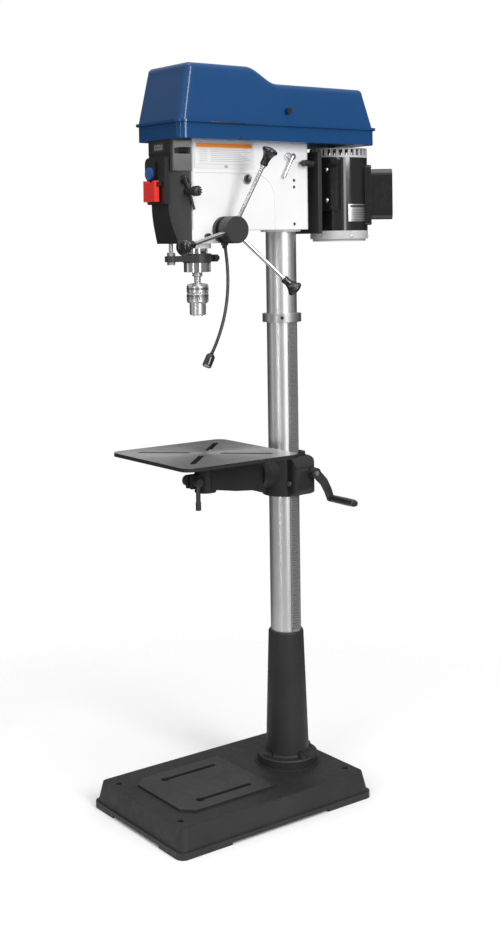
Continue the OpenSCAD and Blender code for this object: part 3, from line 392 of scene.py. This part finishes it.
def eased(node, width, segments=2, angle=32, large=None, second=None):
    """A CAD node again, its edges broken by width as a caster or moulder leaves them.
    large is a test on an edge's ends, in millimetres, and the radius for the edges it picks.
    second is a finish and a test on a face's centre and normal for the faces that take it."""
    mesh = NODES[node].data.copy()
    bm = bmesh.new()
    bm.from_mesh(mesh)
    bmesh.ops.remove_doubles(bm, verts=bm.verts, dist=2e-6)
    bmesh.ops.dissolve_limit(bm, angle_limit=math.radians(0.6), verts=bm.verts, edges=bm.edges)
    if large:
        pick, radius = large
        edges = [e for e in bm.edges if pick(e.verts[0].co / MM, e.verts[1].co / MM)]
        bmesh.ops.bevel(
            bm, geom=edges, offset=radius * MM, segments=5, profile=0.5,
            affect="EDGES", clamp_overlap=True,
        )
    bm.to_mesh(mesh)
    bm.free()
    finishes = [second[0]] if second else []
    piece = add_piece(node + "_eased", mesh, BODIES[node], SLOTS[node], *finishes)
    bevel = piece.modifiers.new("edges", "BEVEL")
    bevel.width = width * MM
    bevel.segments = segments
    bevel.limit_method = "ANGLE"
    bevel.angle_limit = math.radians(angle)
    bevel.use_clamp_overlap = True
    applied(piece)
    smooth(piece.data)
    even = piece.modifiers.new("even", "WEIGHTED_NORMAL")
    even.keep_sharp = True
    applied(piece)
    if second:
        for face in piece.data.polygons:
            face.material_index = 1 if second[1](face.center / MM, face.normal) else 0
    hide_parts(node)
    return piece


# ---------- belt cover ----------
def roof(y):
    """Height of the lid's roof along the machine, with the ramp between its two levels."""
    u = min(1.0, max(0.0, (y - 10) / 88))
    return LID_TOP + (LID_LOW - LID_TOP) * u * u * (3 - 2 * u)


def lid_rings(wall):
    """Rings of the lid from its rim up its drafted walls, over the shoulder to the ridge."""
    corner, shoulder, crown = 14.0, 13.0, 1.0
    runs = [i / 40 for i in range(41)]
    ends = [i / 8 for i in range(9)]
    turns = [i / 6 for i in range(1, 6)]

    def plan(place, z, shift):
        """A side or corner and how far along it, as x and y at a height."""
        dz = z - SEAM
        hw = 96 - wall - 0.068 * dz - shift
        y0 = -188 + wall + 0.2 * dz + shift
        y1 = 399 - wall - 0.327 * dz - shift
        r = corner - wall / 2 - shift
        side, f = place
        if side == "right":
            return hw, y0 + r + f * (y1 - y0 - 2 * r)
        if side == "left":
            return -hw, y1 - r - f * (y1 - y0 - 2 * r)
        if side == "rear":
            return (hw - r) * (1 - 2 * f), y1
        if side == "front":
            return -(hw - r) * (1 - 2 * f), y0
        cx, cy, start = {
            "rear_right": (hw - r, y1 - r, 0),
            "rear_left": (r - hw, y1 - r, 90),
            "front_left": (r - hw, y0 + r, 180),
            "front_right": (hw - r, y0 + r, 270),
        }[side]
        a = math.radians(start + 90 * f)
        return cx + r * math.cos(a), cy + r * math.sin(a)

    places = [
        (side, f)
        for side, fractions in (
            ("right", runs), ("rear_right", turns), ("rear", ends), ("rear_left", turns),
            ("left", runs), ("front_left", turns), ("front", ends), ("front_right", turns),
        )
        for f in fractions
    ]

    def eave(place):
        """Height where the wall ends and the shoulder starts."""
        z = LID_LOW
        for _ in range(3):
            z = roof(plan(place, z, 0)[1]) - crown - wall - shoulder
        return z

    rings = []
    for k in range(6):
        heights = [SEAM + (eave(p) - SEAM) * k / 5 for p in places]
        rings.append([(*plan(p, z, 0), z) for p, z in zip(places, heights)])
    for step in range(1, 7):
        a = math.radians(15 * step)
        shift = shoulder * (1 - math.cos(a))
        rings.append([(*plan(p, eave(p), shift), eave(p) + shoulder * math.sin(a)) for p in places])
    rim = rings[-1]
    front, rear = min(p[1] for p in rim) + 82, max(p[1] for p in rim) - 82
    for k in (0.8, 0.55, 0.3, 0.0):
        ring = []
        for x, y, z in rim:
            spine = min(rear, max(front, y))
            y = spine + (y - spine) * k
            ring.append((x * k, y, roof(y) - wall - crown * k * k))
        rings.append(ring)
    return rings


def add_lid():
    """The lid as one moulded shell, with its two hinge knuckles."""
    shape = Shape()
    knuckle = [(4, -15), (4.3, -14), (4.3, 14), (4, 15)]
    along_y = Matrix.Rotation(math.pi / 2, 4, "X")
    outer, inner = lid_rings(0), lid_rings(3)
    shape.skin(outer[::-1] + inner, caps=False)
    for y in (-20, 240):
        shape.lathe(knuckle, Matrix.Translation((HINGE_X, y, HINGE_Z)) @ along_y, 24)
        shape.slab(rounded_outline(14, 29, 1.5, 3, (-100.5, y)), 1653.4, 1656.2)
    stand_in("belt_lid_shell", shape, "belt_lid", angle=50)


# ---------- small hardware ----------
def screw_head(shape, where, r, h):
    """A domed screw head on its seat."""
    dome = [(r, 0), (r * 0.98, h * 0.4), (r * 0.8, h * 0.8), (r * 0.45, h), (0.01, h * 1.04)]
    shape.lathe(dome, where, 24)


def level_direction(degrees):
    """A level direction, counted from +X towards +Y."""
    return Vector((math.cos(math.radians(degrees)), math.sin(math.radians(degrees)), 0))


def wave(angle, teeth):
    """Rises from 0 to 1 and back once for each tooth round a circle."""
    return 0.5 + 0.5 * math.cos(teeth * angle)


def add_knobs():
    """Fluted trumpet knobs on the three feed rods, each with a steel ferrule."""
    knobs, ferrules = Shape(), Shape()
    profile = [
        (0.01, 166.2), (7.6, 166.2), (8.6, 166.6), (9.4, 168), (9.7, 172), (9.2, 175), (9.2, 178),
        (9.8, 183), (11.2, 188.5), (13.6, 194), (16.6, 198), (18.4, 200.2), (19.0, 203), (18.6, 205.4),
        (17.2, 207.4), (14.5, 208.4), (12.5, 209.6), (8, 210.8), (0.01, 211.6),
    ]
    ferrule = [(5.1, 161.5), (6.4, 161.5), (7.0, 162.3), (7.0, 165.2), (6.6, 166), (5.1, 166)]

    def flute(a, h):
        depth = 0.075 * max(0.0, 1 - abs(h - 190) / 11)
        return 1 - depth * wave(a, 9)

    for i in range(3):
        place = (
            Matrix.Translation((97, -47.5, 1399)) @ Matrix.Rotation(math.radians(72 + 120 * i), 4, "X")
            @ Matrix.Rotation(math.radians(-20), 4, "Z") @ Matrix.Rotation(math.radians(-90), 4, "X")
        )
        knobs.lathe(profile, place, 72, flute)
        ferrules.lathe(ferrule, place, 40)
    stand_in("feed_knobs_fluted", knobs, "feed_knobs", angle=60, finish="gloss_black")
    add_piece("feed_knob_ferrules", ferrules.mesh("feed_knob_ferrules"), BODIES["feed_rods"], "chrome")


def add_chuck_bands():
    """Knurled bands round the chuck's body and its sleeve."""
    teeth = 72

    def knurl(a, h):
        return 1 - 0.012 * wave(a, teeth)

    for node, z0, z1 in (("chuck_body", 1256.7, 1263.4), ("chuck_sleeve", 1240.2, 1247.0)):
        name = node + "_band"
        band = [
            (25.2, z0), (26.15, z0 + 0.5), (26.2, z0 + 1),
            (26.2, z1 - 1), (26.15, z1 - 0.5), (25.2, z1),
        ]
        shape = Shape()
        shape.lathe(band, Matrix.Translation((0, SPINDLE_Y, 0)), teeth * 2, knurl)
        add_piece(name, shape.mesh(name, 60), BODIES[node], "dark_steel", finish="knurl_black")


def add_label():
    """A blank plate with an orange band and ruled lines where the machine carries its notice."""
    x, y0, y1, z0, z1 = 60.0, -129.0, 44.0, 1543.0, 1607.0
    shape = Shape()

    place = facing((1, 0, 0), (x, 0, 0))
    paper, band, ink = 0, 1, 2

    def patch(a0, a1, b0, b1, lift, material, r=0.3):
        shape.material = material
        middle = (a0 + a1) / 2, (b0 + b1) / 2
        outline = rounded_outline(a1 - a0, b1 - b0, min(r, (b1 - b0) / 2.2), 2, middle)
        shape.slab(outline, lift - 0.25, lift, place, 0.08)

    patch(y0, y1, z0, z1, 0.3, paper, 2.5)
    patch(y0 + 5, y1 - 5, z1 - 14, z1 - 4, 0.42, band, 0.6)
    for row in range(7):
        z = z1 - 19 - row * 4.4
        for column, (left, right) in enumerate(((0.08, 0.22), (0.27, 0.94))):
            end = right - 0.05 * ((row * 3 + column) % 4) * column
            patch(y0 + (y1 - y0) * left, y0 + (y1 - y0) * end, z - 0.9, z, 0.36, ink)
    patch(y0 + (y1 - y0) * 0.06, y0 + (y1 - y0) * 0.94, z0 + 10.6, z0 + 11.2, 0.36, ink)
    patch(y0 + 86, y0 + 96, z0 + 2.5, z0 + 9, 0.36, ink, 1.5)
    mesh = shape.mesh("notice_plate")
    add_piece("notice_plate", mesh, "stand", "label_paper", "label_orange", "label_ink")


def add_display_digits():
    """Seven-segment digits on the display's face."""
    shape = Shape()
    zero = [
        (0, 5.2, 4.6, 0.9), (0, -5.2, 4.6, 0.9),
        (-2.7, 2.6, 0.9, 4.4), (2.7, 2.6, 0.9, 4.4), (-2.7, -2.6, 0.9, 4.4), (2.7, -2.6, 0.9, 4.4),
    ]
    middle_bar = (0, 0, 4.4, 0.9)
    low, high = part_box("depth_display")
    front = low[1] / MM
    middle_x, middle_z = (low[0] + high[0]) / 2 / MM, (low[2] + high[2]) / 2 / MM
    place = facing((0, -1, 0), (middle_x, front, middle_z))
    for i, bars in enumerate((zero, zero, zero, zero + [middle_bar])):
        for dx, dz, w, h in bars:
            outline = rounded_outline(w, h, 0.35, 2, (dx + (i - 1.5) * 9.0, dz))
            shape.slab(outline, 0.0, 0.12, place, 0.03)
    add_piece("display_digits", shape.mesh("display_digits"), "stand", "display_ink")


def add_motor_trim():
    """A blank rating plate on the motor, and screws on its slide, its covers and its end bell."""
    plate = Shape()

    def curved(az0, az1, z0, z1, r0, r1, material):
        plate.material = material
        section = [(r0, z0), (r1, z0 + 0.15), (r1, z1 - 0.15), (r0, z1)]
        angles = [math.radians(az0 + (az1 - az0) * i / 16) for i in range(17)]
        plate.skin([
            [(r * math.cos(a), MOTOR_Y + r * math.sin(a), z) for r, z in section] for a in angles
        ])

    curved(-21, 27, 1418, 1462, 73.5, 74.1, 0)
    curved(-18, 24, 1453.5, 1459, 74.0, 74.25, 1)
    curved(-18, 24, 1421, 1422.5, 74.0, 74.25, 1)
    for row in range(4):
        curved(-16, 20 - 5 * (row % 2), 1428 + row * 6, 1429.2 + row * 6, 74.0, 74.2, 1)
    add_piece("motor_plate", plate.mesh("motor_plate"), "motor_mount", "plate_metal", "dark_steel")
    screws = Shape()
    out = level_direction(-60)
    for z in (1549.0, 1472.0):
        screw_head(screws, facing(out, Vector((0, MOTOR_Y, z)) + out * 89.8), 5.5, 3.2)
    side = level_direction(53)
    along = Vector((-side.y, side.x, 0))
    for z in (1414.0, 1557.0):
        for s in (-1, 1):
            corner = Vector((0, MOTOR_Y, z)) + side * 80.9 + along * s * 33
            screw_head(screws, facing(side, corner), 3.2, 2.0)
    for degrees in (-75, -15, 45, 105, 165, 225):
        out = level_direction(degrees)
        screw_head(screws, facing(out, Vector((0, MOTOR_Y, 1381)) + out * 73.6), 3.0, 2.2)
    add_piece("motor_screws", screws.mesh("motor_screws"), "motor_mount", "plate_metal")


def add_switch_collar():
    """Washer and ring nut at the root of the lamp's toggle."""
    ring, nut = Shape(), Shape()
    seat = facing((1, 0, 0), (58.4, 23, 1521))
    ring.lathe([(6.4, 0), (13.0, 0), (13.6, 0.5), (13.4, 1.4), (12.4, 1.9), (6.4, 1.9)], seat, 48)
    profile = [(6.2, 1.8), (8.6, 1.8), (9.0, 2.4), (9.0, 4.6), (8.4, 5.4), (7.0, 5.6), (6.2, 4.6)]
    nut.lathe(profile, seat, 48, lambda a, h: 1 - 0.03 * wave(a, 24))
    add_piece("toggle_washer", ring.mesh("toggle_washer"), "stand", "bare_steel")
    add_piece("toggle_nut", nut.mesh("toggle_nut", 60), "stand", "dark_steel")


def add_gooseneck():
    """The lamp's flexible neck: a ribbed tube along the CAD curve."""
    root, tip = Vector(NECK_ROOT), Vector(NECK_TIP)
    knots = [root - Vector((0, 0, 2)), Vector((52, -22, 1270)), Vector((76, -50, 1190)), tip]
    rounds = [math.pi / 8 * j for j in range(16)]

    def at(t):
        u = 1 - t
        a, b, c, d = knots
        return u ** 3 * a + 3 * t * u * u * b + 3 * t * t * u * c + t ** 3 * d

    shape, steps = Shape(), 300
    rings = []
    for i in range(steps + 1):
        t = i / steps
        ahead = (at(min(1, t + 0.002)) - at(max(0, t - 0.002))).normalized()
        side = (Vector((1, 0, 0)) - ahead * ahead.x).normalized()
        up = ahead.cross(side)
        r = 3.95 if i % 3 else 3.55
        rings.append([at(t) + (side * math.cos(a) + up * math.sin(a)) * r for a in rounds])
    shape.skin(rings)
    below = Matrix.Translation((NECK_ROOT[0], NECK_ROOT[1], 0))
    flange = [(6, 1363), (8.6, 1363), (9, 1363.8), (9, 1366.8), (8.4, 1367.5), (6, 1367.5)]
    shape.lathe(flange, below, 40)
    shape.lathe([(3, 1355), (5, 1355), (5.6, 1356), (6.4, 1363.4), (3, 1363.4)], below, 32)
    stand_in("gooseneck_ribbed", shape, "gooseneck", angle=60, finish="gloss_black")


def add_lamp_head():
    """The lamp: a round black body with its lens and a ring of small lights."""
    shape = Shape()
    aim = facing((0.15, -0.55, -0.82), NECK_TIP)
    body = [
        (3.6, -7), (4.3, -6.6), (4.6, -2), (6.6, -0.6), (9.2, 1.6), (10.6, 4.6), (11, 8),
        (11, 29.6), (10.5, 31), (9.4, 31.4), (8.8, 30), (8.8, 26), (0.01, 26),
    ]
    shape.lathe(body, aim, 64)
    shape.material = 1
    shape.lathe([(8.7, 26.2), (8.7, 29.2), (7.6, 29.9), (4, 30.3), (0.01, 30.4)], aim, 48)
    for i in range(5):
        a = 2 * math.pi * i / 5
        spot = aim @ Matrix.Translation((5.2 * math.cos(a), 5.2 * math.sin(a), 29.9))
        shape.material = 2
        shape.lathe([(1.5, 0), (1.4, 0.5), (0.9, 0.8), (0.01, 0.9)], spot, 16)
    finishes = "lens", "bell_metal"
    stand_in("lamp_head_round", shape, "lamp_head", *finishes, angle=50, finish="gloss_black")


def add_tray_slot_shade_and_plug():
    """The painted shade of the catch slot on the tray's side, drawn as a dark strip standing proud of
    the wall, and the small plug under it.
    """
    shape = Shape()
    right = (1, 0, 0)
    catch, plug = facing(right, (102.6, -60, 1648.5)), facing(right, (96.2, -22, 1613.8))
    # painted shade: a thin dark strip stands where the catch slot's shadowed opening would be
    shape.slab(rounded_outline(100, 3.0, 1.4, 4), -0.2, 0.5, catch, 0.2)
    shape.slab(rounded_outline(11, 5.5, 2.7, 5), -0.2, 0.6, plug, 0.2)
    add_piece("tray_slot_shade_and_plug", shape.mesh("tray_slot_shade_and_plug"), BODIES["belt_tray"], "black_plastic")


def outer_floor_edge(a, b):
    """The edges round the outside of the tray's floor."""
    low = abs(a.z - TRAY_FLOOR) < 0.5 and abs(b.z - TRAY_FLOOR) < 0.5
    return low and (max(abs(a.x), abs(b.x)) > 70 or a.y < -170 or a.y > 385)


def on_pad(centre, normal):
    """The machined top of the base's raised pad."""
    flat = normal.z > 0.9 and centre.z > PAD_TOP - 0.5
    return flat and abs(centre.x) < PAD_HALF and centre.y < PAD_REAR


def below_table_top(centre, normal):
    return centre.z < 863.5 or normal.z < 0.3


def on_motor_bells(centre, normal):
    return centre.z > 1580.2 or centre.z < 1394.8


# ---------- the pieces ----------
eased("belt_tray", 1.0, 3, large=(outer_floor_edge, 7.0))
eased("base", 2.5, 3, second=("pad_black", on_pad))
eased("head_casting", 1.4, 2)
eased("front_cover", 1.8, 3)
eased("switch_box", 2.0, 3)
eased("stop_paddle", 2.0, 3)
eased("table_arm", 2.5, 3)
eased("table_bracket", 2.0, 3)
eased("motor_slide", 1.5, 2)
eased("motor_covers", 5.0, 4, 40)
eased("quill_collar", 1.5, 3)
eased("crank_arm", 1.2, 2)
eased("rack_collar", 1.0, 2)
eased("table", 1.0, 2, second=("black_casting", below_table_top))
eased("motor_housing", 1.2, 2, second=("bell_metal", on_motor_bells))
add_lid()
add_knobs()
add_chuck_bands()
add_label()
add_display_digits()
add_motor_trim()
add_switch_collar()
add_gooseneck()
add_lamp_head()
add_tray_slot_shade_and_plug()


# ---------- camera, floor and light ----------
def add_camera():
    """A long lens at the right of the front, at the height of the quill."""
    az, pitch, roll = math.radians(53.34), math.radians(-1.74), math.radians(-0.8)
    ahead = Vector((-math.sin(az) * math.cos(pitch), math.cos(az) * math.cos(pitch), math.sin(pitch)))
    right = Vector((math.cos(az), math.sin(az), 0.0))
    up = right.cross(ahead)
    level = Matrix((right, up, -ahead)).transposed()
    data = bpy.data.cameras.new("camera")
    data.sensor_width = 36.0
    data.lens = 52.33
    data.shift_y = -0.198
    camera = bpy.data.objects.new("camera", data)
    turned = (level @ Matrix.Rotation(roll, 3, "Z")).to_4x4()
    camera.matrix_world = Matrix.Translation((2.65585, -1.90434, 1.37625)) @ turned
    bpy.context.scene.collection.objects.link(camera)
    bpy.context.scene.camera = camera


def add_area(name, place, target, size, power):
    """A rectangular light, placed and aimed in metres."""
    data = bpy.data.lights.new(name, "AREA")
    data.shape = "RECTANGLE"
    data.size, data.size_y = size
    data.energy = power
    lamp = bpy.data.objects.new(name, data)
    lamp.location = place
    lamp.rotation_euler = (Vector(target) - Vector(place)).to_track_quat("-Z", "Y").to_euler()
    bpy.context.scene.collection.objects.link(lamp)


def add_world():
    """White paper behind, and a studio bright in front and overhead, dark behind and below."""
    world = bpy.data.worlds.new("studio")
    world.use_nodes = True
    tree = world.node_tree
    link = tree.links.new

    def make(kind, **values):
        node = tree.nodes.new(kind)
        for key, value in values.items():
            node.inputs[key.replace("_", " ")].default_value = value
        return node

    def ramp(source, low, high, start, end):
        node = make("ShaderNodeMapRange", From_Min=low, From_Max=high, To_Min=start, To_Max=end)
        node.interpolation_type = "SMOOTHSTEP"
        link(source, node.inputs["Value"])
        return node.outputs["Result"]

    where = make("ShaderNodeTexCoord")
    split = make("ShaderNodeSeparateXYZ")
    link(where.outputs["Generated"], split.inputs["Vector"])
    toward = make("ShaderNodeVectorMath")
    toward.operation = "DOT_PRODUCT"
    toward.inputs[1].default_value = (math.sin(AZIMUTH), -math.cos(AZIMUTH), 0.0)
    link(where.outputs["Generated"], toward.inputs[0])
    strength = make("ShaderNodeMath")
    strength.operation = "ADD"
    link(ramp(toward.outputs["Value"], -0.75, 0.35, ROOM_BACK, ROOM_FRONT), strength.inputs[0])
    link(ramp(split.outputs["Z"], 0.05, 0.6, 0.0, CEILING), strength.inputs[1])
    room = tree.nodes["Background"]
    room.inputs["Color"].default_value = (1.0, 1.0, 1.0, 1.0)
    link(strength.outputs["Value"], room.inputs["Strength"])
    paper = make("ShaderNodeBackground", Color=(1.0, 1.0, 1.0, 1.0), Strength=1.0)
    sight = make("ShaderNodeLightPath")
    choose = make("ShaderNodeMixShader")
    link(sight.outputs["Is Camera Ray"], choose.inputs["Fac"])
    link(room.outputs["Background"], choose.inputs[1])
    link(paper.outputs["Background"], choose.inputs[2])
    link(choose.outputs["Shader"], tree.nodes["World Output"].inputs["Surface"])
    bpy.context.scene.world = world


def add_floor():
    """A pale floor that fades into the white paper."""
    mesh = bpy.data.meshes.new("floor")
    half = 3.2
    corners = [(-half, -half, 0), (half, -half, 0), (half, half, 0), (-half, half, 0)]
    mesh.from_pydata(corners, [], [(0, 1, 2, 3)])
    floor = bpy.data.objects.new("floor", mesh)
    bpy.context.scene.collection.objects.link(floor)
    f = Finish("floor", (0.93, 0.93, 0.93), 0.6, specular=0.2)
    f.vary_rough(f.noise(3, 2), 0.55, 0.65)
    away = f.tree.nodes.new("ShaderNodeVectorMath")
    away.operation = "LENGTH"
    f.link(f.place, away.inputs[0])
    f.link(f.spread(away.outputs["Value"], 1.0, 0.0, 0.45, 1.5), f.shader.inputs["Alpha"])
    mesh.materials.append(f.material)


def around(azimuth, distance, height):
    """A place seen from the machine at an azimuth east of its front, in degrees."""
    a = math.radians(azimuth)
    return distance * math.sin(a), -distance * math.cos(a), height


def add_lights():
    """A key light from the right, with soft fills and two tall strips for the bright metal."""
    add_area("key", around(92, 3.6, 2.7), (0, 0, 1.2), (1.1, 2.0), KEY)
    add_area("fill", around(30, 4.2, 2.9), (0, 0, 1.1), (1.2, 1.2), FILL)
    add_area("strip_front", around(22, 3.0, 1.15), (0, 0, 0.95), (0.18, 2.3), STRIP)
    add_area("strip_right", around(80, 3.4, 1.15), (0, 0, 0.95), (0.5, 2.3), 1.6 * STRIP)
    add_area("left", around(-32, 3.4, 1.4), (0, 0, 1.0), (0.7, 2.4), LEFT)
    add_area("top", (0.4, -0.2, 4.2), (0, 0, 1.4), (2.6, 2.6), TOP)
    bpy.context.scene.view_settings.view_transform = "Standard"


AZIMUTH = math.radians(54)                 # the side from which the room is bright
ROOM_BACK, ROOM_FRONT, CEILING = 0.04, 0.26, 0.6
KEY, FILL, STRIP, LEFT, TOP = 80, 22, 10, 4, 40
add_world()
add_floor()
add_lights()
add_camera()
